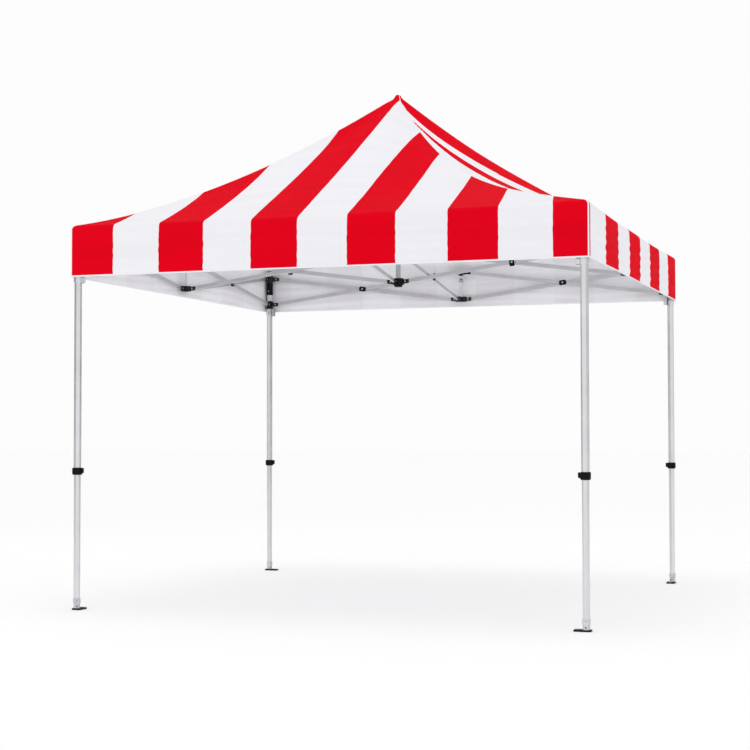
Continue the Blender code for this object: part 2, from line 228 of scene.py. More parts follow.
def hexagon_outline(flats, soft=0.0, count=48):
    """A hexagon with softened corners on the x axis: r = half / cos(angle from the nearest flat)."""
    around = 2 * np.pi * np.arange(count) / count
    off = (around % (np.pi / 3)) - np.pi / 6
    corner = flats / math.sqrt(3)
    radius = np.minimum(flats / 2 / np.cos(off), corner - soft + soft * 0.25 * np.cos(off * 6))
    return np.stack([radius * np.cos(around), radius * np.sin(around)], -1)


def loft(outline, levels):
    """A solid whose outline follows levels of (height, share of its size). A share of 0 closes it."""
    heights, shares = np.array(levels).T[:, :, None, None]
    flat = outline[None] * shares
    points = np.concatenate([flat, np.broadcast_to(heights, flat.shape[:2] + (1,))], -1)
    return points.reshape(-1, 3), grid_faces(len(levels), len(outline), wrap_cols=True)


def sleeve(bore, skin, levels):
    """A closed tube: up the skin through levels of (height, share of the skin), then down inside the bore."""
    rings = [np.column_stack([skin * s, np.full(len(skin), h)]) for h, s in levels]
    rings += [np.column_stack([bore, np.full(len(bore), levels[end][0])]) for end in (-1, 0)]
    return np.concatenate(rings), grid_faces(len(rings), len(skin), wrap_rows=True, wrap_cols=True)


def soft_block(half, power):
    """A rounded block: x = a C(b) C(t), y = b C(b) S(t), z = c S(b), with C and S to the power 2/p."""
    around, up = 28, 16
    b = np.linspace(-np.pi / 2, np.pi / 2, up)[:, None]
    t = (2 * np.pi * np.arange(around) / around)[None, :]
    cb = np.where(np.abs(np.cos(b)) < 1e-9, 0, bent(np.cos(b), power))
    x = half[0] * cb * bent(np.cos(t), power)
    y = half[1] * cb * bent(np.sin(t), power)
    z = half[2] * bent(np.sin(b), power) * np.ones_like(t)
    return np.stack([x, y, z], -1).reshape(-1, 3), grid_faces(up, around, wrap_cols=True)


def dome(radius, high, count=20):
    """A rivet's head: a low dome on its flat face, with r = R cos(a) and z = H sin(a)."""
    rise = np.linspace(0, np.pi / 2, 6)[:-1]
    levels = [(0.0, 0.0), *((high * math.sin(a), math.cos(a)) for a in rise), (high, 0.0)]
    return loft(circle(radius, count), levels)


def moved(form, matrix):
    """A form with its points put through a 4x4 matrix."""
    m = np.array(matrix, float)
    return form[0] @ m[:3, :3].T + m[:3, 3], form[1]


def shift(x, y, z):
    """A move."""
    return Matrix.Translation((x, y, z))


def turn(degrees, axis="Z"):
    """A turn about one axis."""
    return Matrix.Rotation(math.radians(degrees), 4, axis)


def facing(direction):
    """A turn that takes +Z to a direction."""
    return Vector(direction).to_track_quat("Z", "Y").to_matrix().to_4x4()


def corner_at(k, z):
    """A corner leg's own axes at height z: x and y point outwards at the front right."""
    return turn(90 * k) @ shift(LEG_AT, -LEG_AT, z)


def side_at(k, u, v, z):
    """A side's own axes at a point: x along the side, y inwards."""
    return turn(90 * k) @ shift(u, -v, z)


def link(name, mesh):
    """A new object at the origin that holds the mesh."""
    made = bpy.data.objects.new(name, mesh)
    bpy.context.scene.collection.objects.link(made)
    return made


def solid_piece(name, forms, at, finish, body, replaces=()):
    """One closed, welded piece: its forms put at a place, riding on a body of the frame."""
    points, faces, start = [], [], 0
    for form in forms:
        own_points, own_faces = moved(form, at)
        points.append(own_points)
        faces.append(own_faces + start)
        start += len(own_points)
    mesh = bpy.data.meshes.new(name)
    mesh.from_pydata(np.concatenate(points), [], np.concatenate(faces))
    work = bmesh.new()
    work.from_mesh(mesh)
    bmesh.ops.remove_doubles(work, verts=work.verts, dist=1e-6)
    bmesh.ops.recalc_face_normals(work, faces=work.faces)
    work.to_mesh(mesh)
    work.free()
    mesh.materials.append(finish)
    mesh.shade_smooth()
    mesh.set_sharp_from_angle(angle=SHARP_ANGLE)
    made = link(name, mesh)
    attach(made, body)
    if replaces:
        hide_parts(*replaces)


# Shader tools


def feed(tree, node, inputs):
    """Link each of a node's inputs where a socket is given, and set it where a value is."""
    for key, value in inputs.items():
        if isinstance(value, bpy.types.NodeSocket):
            tree.links.new(value, node.inputs[key])
        else:
            node.inputs[key].default_value = value


def add(tree, kind, inputs=None, **settings):
    """The outputs of a new node with its settings and its inputs."""
    made = tree.nodes.new(kind)
    for key, value in settings.items():
        setattr(made, key, value)
    feed(tree, made, inputs or {})
    return made.outputs


def reckon(tree, operation, *values):
    """The output of a Math node."""
    return add(tree, "ShaderNodeMath", dict(enumerate(values)), operation=operation)[0]


def noise(tree, place, scale, detail, **more):
    """The output of a Noise Texture."""
    return add(tree, "ShaderNodeTexNoise", {"Vector": place, "Scale": scale, "Detail": detail, **more})[0]


def bump(tree, height, strength, distance, **more):
    """The Normal output of a Bump node."""
    inputs = {"Height": height, "Strength": strength, "Distance": distance, **more}
    return add(tree, "ShaderNodeBump", inputs)[0]


def remapped(tree, value, low, high, start=0.25, end=0.75):
    """A value between start and end taken to low and high."""
    return add(tree, "ShaderNodeMapRange", {
        "Value": value, "From Min": start, "From Max": end, "To Min": low, "To Max": high})[0]


def blend_colour(tree, share, first, second):
    """The output of a colour mix, from the first at 0 to the second at 1."""
    first, second = (c if isinstance(c, bpy.types.NodeSocket) else (*c, 1.0) for c in (first, second))
    return add(tree, "ShaderNodeMix", {0: share, 6: first, 7: second}, data_type="RGBA")[2]


def shaded(tree, colour, value, low, high):
    """A colour made darker or lighter by a value that changes over the surface."""
    share = remapped(tree, value, 0.0, 1.0)
    return blend_colour(tree, share, [c * low for c in colour], [min(1.0, c * high) for c in colour])


def placed(tree, effect, inputs):
    """The outputs of a shader group, built once by an effect that takes a tree and its inputs."""
    name = f"canopy_{effect.__name__}"
    group = bpy.data.node_groups.get(name)
    if not group:
        group = bpy.data.node_groups.new(name, "ShaderNodeTree")
        for label, value in inputs.items():
            kind = "NodeSocketFloat" if isinstance(value, float) else "NodeSocketVector"
            group.interface.new_socket(label, in_out="INPUT", socket_type=kind)
        outputs = effect(group, group.nodes.new("NodeGroupInput").outputs)
        for label in outputs:
            group.interface.new_socket(label, in_out="OUTPUT", socket_type="NodeSocketFloat")
        feed(group, group.nodes.new("NodeGroupOutput"), outputs)
    return add(tree, "ShaderNodeGroup", inputs, node_tree=group)


def weave(tree, given):
    """Threads over and under: the sine of one way times the sine of the other, broken by a fine noise."""
    parts = add(tree, "ShaderNodeSeparateXYZ", {0: given["Metres"]})
    around = reckon(tree, "DIVIDE", math.pi, given["Thread"])
    warp, weft = (reckon(tree, "SINE", reckon(tree, "MULTIPLY", parts[i], around)) for i in (0, 1))
    slub = reckon(tree, "MULTIPLY", noise(tree, given["Metres"], 380.0, 3.0), 0.8)
    return {"Height": reckon(tree, "MULTIPLY_ADD", warp, weft, slub),
            "Shade": noise(tree, given["Metres"], 3.1, 4.0)}


def grain(tree, given):
    """The fine grain of moulded plastic or powder coat, and a slow change over the surface."""
    return {"Height": noise(tree, given["Place"], given["Scale"], 2.0, Roughness=0.6),
            "Shade": noise(tree, given["Place"], 22.0, 3.0)}


def drawn_metal(tree, given):
    """The marks of drawn metal: a noise stretched along the tube, with a few short scuffs."""
    factors = {0: given["Place"], 1: given["Stretch"]}
    stretched = add(tree, "ShaderNodeVectorMath", factors, operation="MULTIPLY")[0]
    return {"Height": noise(tree, stretched, 700.0, 3.0),
            "Shade": noise(tree, given["Place"], 7.0, 4.0),
            "Scuff": remapped(tree, noise(tree, given["Place"], 60.0, 5.0), 0.0, 1.0, 0.62, 0.72)}


# Finishes


def inside_spans(tree, value, spans):
    """1 where a value lies in one of the spans (low, high)."""
    inside = 0.0
    for low, high in spans:
        above, below = reckon(tree, "GREATER_THAN", value, low), reckon(tree, "LESS_THAN", value, high)
        inside = reckon(tree, "MAXIMUM", inside, reckon(tree, "MULTIPLY", above, below))
    return inside


def finish_once(look):
    """Turn a look, which gives the Principled shader's inputs, into a maker of a material, made once."""
    def make(name, *values, **settings):
        made = bpy.data.materials.get(name)
        if not made:
            made = bpy.data.materials.new(name)
            made.use_nodes = True
            tree = made.node_tree
            feed(tree, tree.nodes["Principled BSDF"], look(tree, *values, **settings))
        return made
    return make


@finish_once
def stripe_cloth(tree, white_share, inner):
    """Printed cloth: white where the stripe map's fraction is under the white stripe's share, else red."""
    cloth = bpy.context.scene.canopy_cloth
    stripes = add(tree, "ShaderNodeUVMap", uv_map="stripes")[0]
    metres = add(tree, "ShaderNodeUVMap", uv_map="metres")[0]
    threads = placed(tree, weave, {"Metres": metres, "Thread": 0.0009})
    across = add(tree, "ShaderNodeSeparateXYZ", {0: stripes})[0]
    white = reckon(tree, "LESS_THAN", reckon(tree, "FRACT", across), white_share)
    red, pale = cloth.red, cloth.white
    if inner:
        # the red print shows through the thin cloth a little
        red, pale = [c * f for c, f in zip(cloth.lining, (0.985, 0.965, 0.965))], cloth.lining
    # painted shade: soft bands along the cloth, darker where its long shallow waves turn away from the light
    wave_shade_place = add(tree, "ShaderNodeMapping", {"Vector": metres, "Scale": (0.9, 11.0, 1.0)})[0]
    tone = reckon(tree, "MULTIPLY", noise(tree, wave_shade_place, 1.0, 1.5), 0.6)
    tone = reckon(tree, "MULTIPLY_ADD", threads["Shade"], 0.4, tone)
    colour = blend_colour(
        tree, white, shaded(tree, red, tone, 0.9, 1.05), shaded(tree, pale, tone, 0.955, 1.02))
    return {"Base Color": colour, "Roughness": remapped(tree, threads["Shade"], 0.7, 0.82),
            "Normal": bump(tree, threads["Height"], 0.22, 0.0004), "Specular IOR Level": 0.02}


@finish_once
def tape_cloth(tree):
    """White binding tape in a close weave."""
    metres = add(tree, "ShaderNodeUVMap", uv_map="metres")[0]
    threads = placed(tree, weave, {"Metres": metres, "Thread": 0.0006})
    white = [min(1.0, c * 1.03) for c in bpy.context.scene.canopy_cloth.white]
    return {"Base Color": shaded(tree, white, threads["Shade"], 0.97, 1.01),
            "Roughness": remapped(tree, threads["Shade"], 0.66, 0.78),
            "Normal": bump(tree, threads["Height"], 0.3, 0.0004), "Specular IOR Level": 0.3}


@finish_once
def aluminium(tree, black=(), axis=2, colour=None):
    """Aluminium drawn along an axis, black where the distance along it lies in one of the black spans."""
    sizes = bpy.context.scene.canopy_frame
    colour = colour or sizes.metal
    stretch = [MARK_STRETCH if way == axis else 1 for way in range(3)]
    place = add(tree, "ShaderNodeTexCoord")["Object"]
    marks = placed(tree, drawn_metal, {"Place": place, "Stretch": stretch})
    tone = shaded(tree, colour, marks["Shade"], 0.93, 1.04)
    scuff = reckon(tree, "MULTIPLY", marks["Scuff"], 0.25)
    tone = blend_colour(tree, scuff, tone, [c * 0.72 for c in colour])
    rough = remapped(tree, marks["Shade"], 0.27, 0.36)
    rough = reckon(tree, "MULTIPLY_ADD", marks["Scuff"], 0.12, rough)
    metallic = METALLIC
    if black:
        along = reckon(tree, "ABSOLUTE", add(tree, "ShaderNodeSeparateXYZ", {0: place})[axis])
        cap = inside_spans(tree, along, black)
        plastic = placed(tree, grain, {"Place": place, "Scale": 900.0})
        tone = blend_colour(tree, cap, tone, shaded(tree, sizes.black, plastic["Shade"], 0.8, 1.5))
        rough = reckon(tree, "MAXIMUM", rough, reckon(tree, "MULTIPLY", cap, 0.46))
        metallic = reckon(tree, "MULTIPLY", reckon(tree, "SUBTRACT", 1.0, cap), METALLIC)
    # the real tubes have rounded corners
    corners = add(tree, "ShaderNodeBevel", {"Radius": 0.0022}, samples=6)[0]
    normal = bump(tree, marks["Height"], 0.12, 0.0004, Normal=corners)
    return {"Base Color": tone, "Roughness": rough, "Metallic": metallic, "Normal": normal}


@finish_once
def moulded(tree, colour, low=0.4, high=0.52, scale=900.0):
    """Moulded plastic or powder coat with a fine grain."""
    place = add(tree, "ShaderNodeTexCoord")["Object"]
    surface = placed(tree, grain, {"Place": place, "Scale": scale})
    return {"Base Color": shaded(tree, colour, surface["Shade"], 0.85, 1.2),
            "Roughness": remapped(tree, surface["Shade"], low, high),
            "Normal": bump(tree, surface["Height"], 0.25, 0.0003), "Specular IOR Level": 0.10}


@finish_once
def floor_paint(tree, colour, glow):
    """The pale floor, with a little light of its own."""
    cloud = noise(tree, add(tree, "ShaderNodeTexCoord")["Object"], 0.6, 3.0)
    return {"Base Color": shaded(tree, colour, cloud, 0.997, 1.003), "Roughness": 0.85,
            "Specular IOR Level": 0.1, "Emission Color": (1.0, 1.0, 1.0, 1.0), "Emission Strength": glow}


def paint(finish, *nodes):
    """Put a finish on every material slot of some CAD nodes."""
    for node in nodes:
        for slot in NODES[node].material_slots:
            slot.material = finish


# Cloth


def sheet_rows():
    """Rows from the hem to the tip.

    Each row has how far out it lies, its height before the roof climbs, and the cosine and sine of the
    way that the cloth faces: (1, 0) on the valance, round the eave's bend, then (0, 1) on the roof.
    """
    tape = bpy.context.scene.canopy_cloth.hem_tape
    drops = np.concatenate([
        HEM + tape * np.array([0, 0.2, 0.85, 1.0]), np.linspace(HEM + tape * 1.6, EAVE - SHOULDER, 50)])
    bends = np.linspace(0, np.pi / 2, 9)[1:]
    near, tip = 0.06, 0.002
    spans = ((CANOPY_HALF - SHOULDER, BAND_START, EAVE_ROWS), (BAND_START, CROWN_HALF, BAND_ROWS),
             (CROWN_HALF, near, 29), (near, tip, 16))
    outs = np.concatenate([np.linspace(start, end, steps + 1)[1:] for start, end, steps in spans])
    out, flat, cosine, sine = np.concatenate([
        np.stack(np.broadcast_arrays(*stretch)) for stretch in (
            (CANOPY_HALF, drops, 1.0, 0.0),
            (CANOPY_HALF - SHOULDER + SHOULDER * np.cos(bends), EAVE - SHOULDER + SHOULDER * np.sin(bends),
             np.cos(bends), np.sin(bends)),
            (outs, EAVE, 0.0, 1.0))], axis=1)
    first = len(drops) + len(bends)
    return {"out": out, "flat": flat, "cos": cosine, "sin": sine, "roof": first,
            "band": first + EAVE_ROWS - 1, "crown": first + EAVE_ROWS + BAND_ROWS - 1}


def column_places(out, tape):
    """Where the columns lie along a row of half width out: close steps on the tapes, even steps between."""
    half = out[:, None]
    edge = EDGE_STEPS * tape[:, None] * np.minimum(1.0, half / 0.03)
    middle = np.linspace(-1, 1, COLUMNS)[1:-1] * (half - edge[:, -1:])
    return np.concatenate([edge - half, middle, half - edge[:, ::-1]], axis=1)


def roof_height(k, out, u):
    """How far the roof climbs above its flat height, how far it sags, and u from -1 to 1.

    The cloth runs straight from the eave to the hollow ridges. With rise r from 0 at the eave to 1 at the
    tip, the climb is r (s + (1 - s) a^q) of the full height, where a is the rise at the ridge's point
    straight above, and s and q go from the left ridge's to the right ridge's. The middle sags a little
    at the eave. Over the mast's tip the cloth is a small round cap.
    """
    left, right = RIDGE_SHAPE[CORNERS[k - 1]], RIDGE_SHAPE[CORNERS[k]]
    run = CANOPY_HALF
    rise = np.clip((run - out) / run, 0, 1)[:, None]
    span = np.clip(u / out[:, None], -1, 1)
    straight, power = (left[i] + (right[i] - left[i]) * (span + 1) / 2 for i in (0, 1))
    meets = out[:, None] * np.sqrt(span ** 2 + MIDDLE_SOFT ** 2 * (1 - span ** 2))
    ahead = np.clip(1 - meets / run, 0, 1)
    climb = (PEAK - EAVE) * rise * (straight + (1 - straight) * ahead ** power) + EAVE_LIFT * (1 - rise)
    inside = np.clip(out / CAP_R, 0, 1)[:, None]
    cap = MAST_TIP + CAP_LIFT - EAVE - CAP_DEEP * (1 - np.sqrt(1 - np.minimum(inside, 0.999) ** 2))
    near = 1 - smooth_step(out, CAP_R * 0.9, CAP_R * 1.5)[:, None]
    climb = np.maximum(climb, climb * (1 - near) + cap * near)
    sag = EAVE_SAG * (1 - span ** 2) * (1 - rise)
    return climb, sag, span


def ripples(k, u, z):
    """The valance's ripples: crests that run along the side, bent and faded slowly along it."""
    cloth = bpy.context.scene.canopy_cloth
    up, phase, whole = z - HEM, 1.7 * k, 2 * np.pi
    first = np.sin(whole * (up / cloth.ripple_length + 0.42 * np.sin(1.9 * u + phase)
                            + 0.13 * np.sin(6.1 * u + 2 * phase)))
    second = np.sin(whole * (up / (1.7 * cloth.ripple_length) + 0.5 * np.sin(1.3 * u + 1.3 * phase) + 0.3))
    third = np.sin(whole * (u / 0.61 + 0.6 * np.sin(0.9 * u + phase)) + 9 * up)
    strength = 0.75 + 0.35 * np.sin(2.7 * u + phase) * np.sin(1.1 * u + 0.4)
    wave = strength * (0.62 * first + 0.3 * second) + 0.35 * third
    drop = EAVE - SHOULDER - HEM
    fade = (0.45 + 0.55 * smooth_step(up, 0.0, 0.03)) * (1 - smooth_step(up, drop * 0.72, drop))
    fade = fade * (1 - smooth_step(np.abs(u), CANOPY_HALF - 0.16, CANOPY_HALF - 0.01))
    return cloth.ripple * (0.7 * wave + 0.35) * fade


def panel(k, rows, inset=0.0, taped=False):
    """One side's whole sheet, from the hem to the tip: its points in the canopy's axes, and u.

    inset moves the sheet inwards, and taped raises the tapes on its edges.
    """
    cloth = bpy.context.scene.canopy_cloth
    out, flat = rows["out"], rows["flat"]
    cosine, sine = rows["cos"][:, None], rows["sin"][:, None]
    tape = np.where(np.arange(len(out)) < rows["roof"], cloth.corner_tape, cloth.ridge_tape)
    u = column_places(out, tape)
    climb, sag, span = roof_height(k, out, u)
    hang = np.where(rows["sin"] > 0, 1.0, (flat - HEM) / (EAVE - SHOULDER - HEM))[:, None]
    wave = ripples(k, u, flat[:, None]) * (1 - sine)
    offset = np.full_like(u, -inset)
    if taped:
        offset[:, :len(TAPE_RISE)] += TAPE_RISE
        offset[:, -len(TAPE_RISE):] += TAPE_RISE[::-1]
        offset[1:3] = TAPE_THICK - inset
    edge = smooth_step(np.abs(span), 0.985, 1.0)
    across = u + np.sign(span) * edge * offset * cosine
    v = out[:, None] + (wave + offset) * cosine
    slack = 0.0016 * np.sin(7 * span + 2.1 * k) * np.sin(9 * out[:, None]) * (1 - span ** 2)
    z = flat[:, None] + climb - sag * hang + (offset + slack) * sine
    # near the tip the square rows turn into round ones
    far = np.sqrt(across ** 2 + v ** 2) + 1e-12
    round_share = 1 - smooth_step(out, 0.018, 0.07)[:, None]
    pull = (1 - round_share) + round_share * out[:, None] / far
    points = np.stack([across * pull, -v * pull, z], -1)
    return points @ np.round(np.array(turn(90 * k))[:3, :3]).T, u


def stripe_map(k, rows, u, points):
    """The stripe map's first value: (place at the eave - start of a white stripe) / repeat.

    With m from 0 at the eave to 1 at the tip, a stripe's edge that starts at x0 runs up the roof on
    x = x0 + 0.135 w m^2 - 0.225 (1 - w) x0 m in front and at the back, where w goes from 1 on the left
    half to 0 on the right, and on x = x0 (1 - c m^q) on the two sides, where c grows and q falls with
    x0. Row by row, x0 is read back from x.
    """
    cloth = bpy.context.scene.canopy_cloth
    on_side = k % 2 == 1
    places = np.linspace(-1.6, 1.6, 801)
    w = 1 - smooth_step(places, -0.15, 0.5)
    c = 0.84 + 0.12 * np.minimum(1, places ** 2 / 1.12)
    q = np.clip(0.77 / np.maximum(np.abs(places), 0.01), 1, 3)
    eave = u.copy()
    for i, out in enumerate(rows["out"]):
        m = min(1.0, max(0.0, 1 - out / CANOPY_HALF))
        reached = places + 0.135 * w * m ** 2 - 0.225 * (1 - w) * places * m
        if on_side:
            reached = places * (1 - c * m ** q)
        rising = np.where(places > 0, np.maximum.accumulate(reached),
                          np.minimum.accumulate(reached[::-1])[::-1])
        eave[i] = np.interp(u[i], rising, places)
    start, period = cloth.front_start, cloth.front_period
    if on_side:
        # the first white stripe of a side is wider, so the red one at the corner is a thin line
        eave = eave + 0.07 * (1 - smooth_step(eave, -1.5, -1.25))
        start, period = cloth.side_start, cloth.side_period
    z = points[..., 2]
    wobble = 0.0005 * np.sin(2 * np.pi * z / 0.083 + 5 * u) + 0.0006 * np.sin(2 * np.pi * z / 0.21 + 11 * u)
    return (eave + wobble - start) / period


def face_normals(points):
    """Unit normals of a grid of points, from the cross product of its column and row steps."""
    normal = np.cross(np.gradient(points, axis=1), np.gradient(points, axis=0))
    return normal / np.maximum(np.linalg.norm(normal, axis=-1, keepdims=True), 1e-12)


def make_sheets():
    """The rows, and each side's outer and inner grids, normals and maps."""
    rows = sheet_rows()
    sheets = []
    for k in range(4):
        outer, u = panel(k, rows, taped=True)
        inner, _ = panel(k, rows, bpy.context.scene.canopy_cloth.thickness)
        plain, _ = panel(k, rows)
        climbed = np.linalg.norm(np.diff(plain[:, plain.shape[1] // 2], axis=0), axis=-1)
        slope = np.concatenate([[0], np.cumsum(climbed)])[:, None] * np.ones_like(u)
        maps = np.stack([stripe_map(k, rows, u, outer), slope, u + 4 * k, slope], -1)
        sheets.append((outer, inner, face_normals(plain), maps))
    return rows, sheets


def cloth_area(points):
    """Area of a grid of points, from the half diagonals' cross products."""
    one = points[1:, 1:] - points[:-1, :-1]
    two = points[1:, :-1] - points[:-1, 1:]
    return float(np.linalg.norm(np.cross(one, two), axis=-1).sum() / 2)


def tip_fans(count, cols, points, normals, maps):
    """Fans of triangles from each layer's last ring to its tip. The tips are added to the lists."""
    layers = np.arange(len(points))
    ring = (layers[:, None] * count + count - 1) * cols + np.arange(cols)
    tips = np.full((len(layers), cols - 1), layers[:, None] + len(layers) * count * cols)
    fans = np.stack([ring[:, :-1], ring[:, 1:], tips], -1)
    fans[1::2] = fans[1::2, :, ::-1]
    for layer in layers:
        lining = layer % 2
        points.append([[0.0, 0.0, points[lining][-cols:, 2].mean()]])
        normals.append([[0.0, 0.0, 1.0 - 2 * lining]])
        maps.append(maps[layer][[-cols + cols // 2]])
    return fans.reshape(-1, 3), np.repeat(layers % 2, cols - 1)


def cloth_piece(name, sheets, sides, low, high, body, closed_tip=False):
    """One closed sheet from rows low to high of some sides: outer face, inner face and their rims."""
    points, normals, maps, faces, kinds = [], [], [], [], []
    print_side, lining, tape = 0, 1, 2
    for number, k in enumerate(sides):
        outer, inner, normal, own_maps = (grid[low:high + 1] for grid in sheets[k])
        count, cols = outer.shape[:2]
        size = count * cols
        start = 2 * size * number
        points += [outer.reshape(-1, 3), inner.reshape(-1, 3)]
        normals += [normal.reshape(-1, 3), -normal.reshape(-1, 3)]
        maps += [own_maps.reshape(-1, 4)] * 2
        quads = grid_faces(count, cols)
        row, col = np.divmod(np.arange(len(quads)), cols - 1)
        on_hem = row + low < 3
        on_edge = (col < 3) | (col >= cols - 4)
        loop = np.arange(cols)
        if closed_tip:
            loop, after = loop[:-1], loop[1:]
        else:
            loop = np.concatenate([
                loop, np.arange(1, count) * cols + cols - 1, (count - 1) * cols + loop[-2::-1],
                np.arange(count - 2, 0, -1) * cols])
            after = np.roll(loop, -1)
        rim = np.stack([after, loop, size + loop, size + after], -1)
        faces += [quads + start, quads[:, ::-1] + start + size, rim + start]
        kinds += [np.where(on_hem | on_edge, tape, print_side), np.where(on_hem, tape, lining),
                  np.full(len(rim), tape if low == 0 else lining)]
    fans = np.zeros((0, 3), int)
    if closed_tip:
        fans, fan_kinds = tip_fans(count, cols, points, normals, maps)
        kinds.append(fan_kinds)
    points, normals, maps, faces, kinds = map(np.concatenate, (points, normals, maps, faces, kinds))
    corners = np.concatenate([faces.ravel(), fans.ravel()])
    # weld the ridges where the sides meet
    _, first, same = np.unique(np.round(points + 3e-7, 6), axis=0, return_index=True, return_inverse=True)
    same = same.reshape(-1)
    mesh = bpy.data.meshes.new(name)
    mesh.from_pydata(points[first], [], same[faces].tolist() + same[fans].tolist())
    mesh.polygons.foreach_set("material_index", kinds.astype(np.int32))
    mesh.shade_smooth()
    for label, part in (("stripes", maps[:, :2]), ("metres", maps[:, 2:])):
        layer = mesh.uv_layers.new(name=label)
        layer.data.foreach_set("uv", part[corners].astype(np.float32).ravel())
    mesh.normals_split_custom_set(normals[corners])
    cloth = bpy.context.scene.canopy_cloth
    label, share = "front", cloth.front_white / cloth.front_period
    if sides[0] % 2:
        label, share = "side", cloth.side_white / cloth.side_period
    mesh.materials.append(stripe_cloth(f"striped_cloth_{label}", share, inner=False))
    mesh.materials.append(stripe_cloth(f"cloth_lining_{label}", share, inner=True))
    mesh.materials.append(tape_cloth("white_tape"))
    made = link(name, mesh)
    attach(made, body)
    return made, sum(cloth_area(sheets[k][0][low:high + 1]) for k in sides)


def fold_side(made):
    """Give a side's sheet its own copy of its mesh."""
    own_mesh(made)


class CANOPY_OT_valances(bpy.types.Operator):
    """Hang the four valances, each with its eave, from the top connectors."""
    bl_idname = "canopy.hang_valances"
    bl_label = "Hang the valances"

    def execute(self, context):
        rows, sheets = make_sheets()
        for k, side in enumerate(SIDES):
            made, area = cloth_piece(f"{side}_valance", sheets, [k], 0, rows["band"], f"{side}_connector_top")
            fold_side(made)
            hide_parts(f"{side}_canopy")
        return {"FINISHED"}


class CANOPY_OT_roof(bpy.types.Operator):
    """Stretch the roof: four bands above the eaves and the crown over the mast."""
    bl_idname = "canopy.stretch_roof"
    bl_label = "Stretch the roof"

    def execute(self, context):
        rows, sheets = make_sheets()
        for k, side in enumerate(SIDES):
            made, area = cloth_piece(
                f"{side}_roof_band", sheets, [k], rows["band"], rows["crown"], f"{side}_arm_up")
            fold_side(made)
        made, area = cloth_piece(
            "roof_crown", sheets, range(4), rows["crown"], len(rows["out"]) - 1, "hub_top", True)
        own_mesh(made)
        return {"FINISHED"}


# Frame


class CANOPY_OT_tubes(bpy.types.Operator):
    """Finish the legs' tubes, the bars, the arms and the mast in drawn aluminium with black ends."""
    bl_idname = "canopy.finish_tubes"
    bl_label = "Finish the tubes"

    def execute(self, context):
        colour = context.scene.canopy_frame.bar_metal
        upper = aluminium("leg_tube_black_head", [(HEAD_BOTTOM, PEAK)])
        paint(upper, *(f"{corner}_leg_upper" for corner in CORNERS))
        paint(aluminium("leg_tube"), *(f"{corner}_leg_lower" for corner in CORNERS))
        back, ahead = 0.02, 0.024
        caps = [(LUG - back, LUG + ahead), (LEG_AT - LUG - ahead, LEG_AT - LUG + back)]
        ways = (aluminium("bar_across", caps, 0, colour), aluminium("bar_along", caps, 1, colour))
        for k, side in enumerate(SIDES):
            paint(ways[k % 2], *(f"{side}_bar_{bar}" for bar in ("down_a", "down_b", "up_a", "up_b")))
            paint(ways[1 - k % 2], f"{side}_arm_down", f"{side}_arm_up")
        paint(aluminium("mast_tube", colour=[c * 0.85 for c in colour]), "mast")
        return {"FINISHED"}


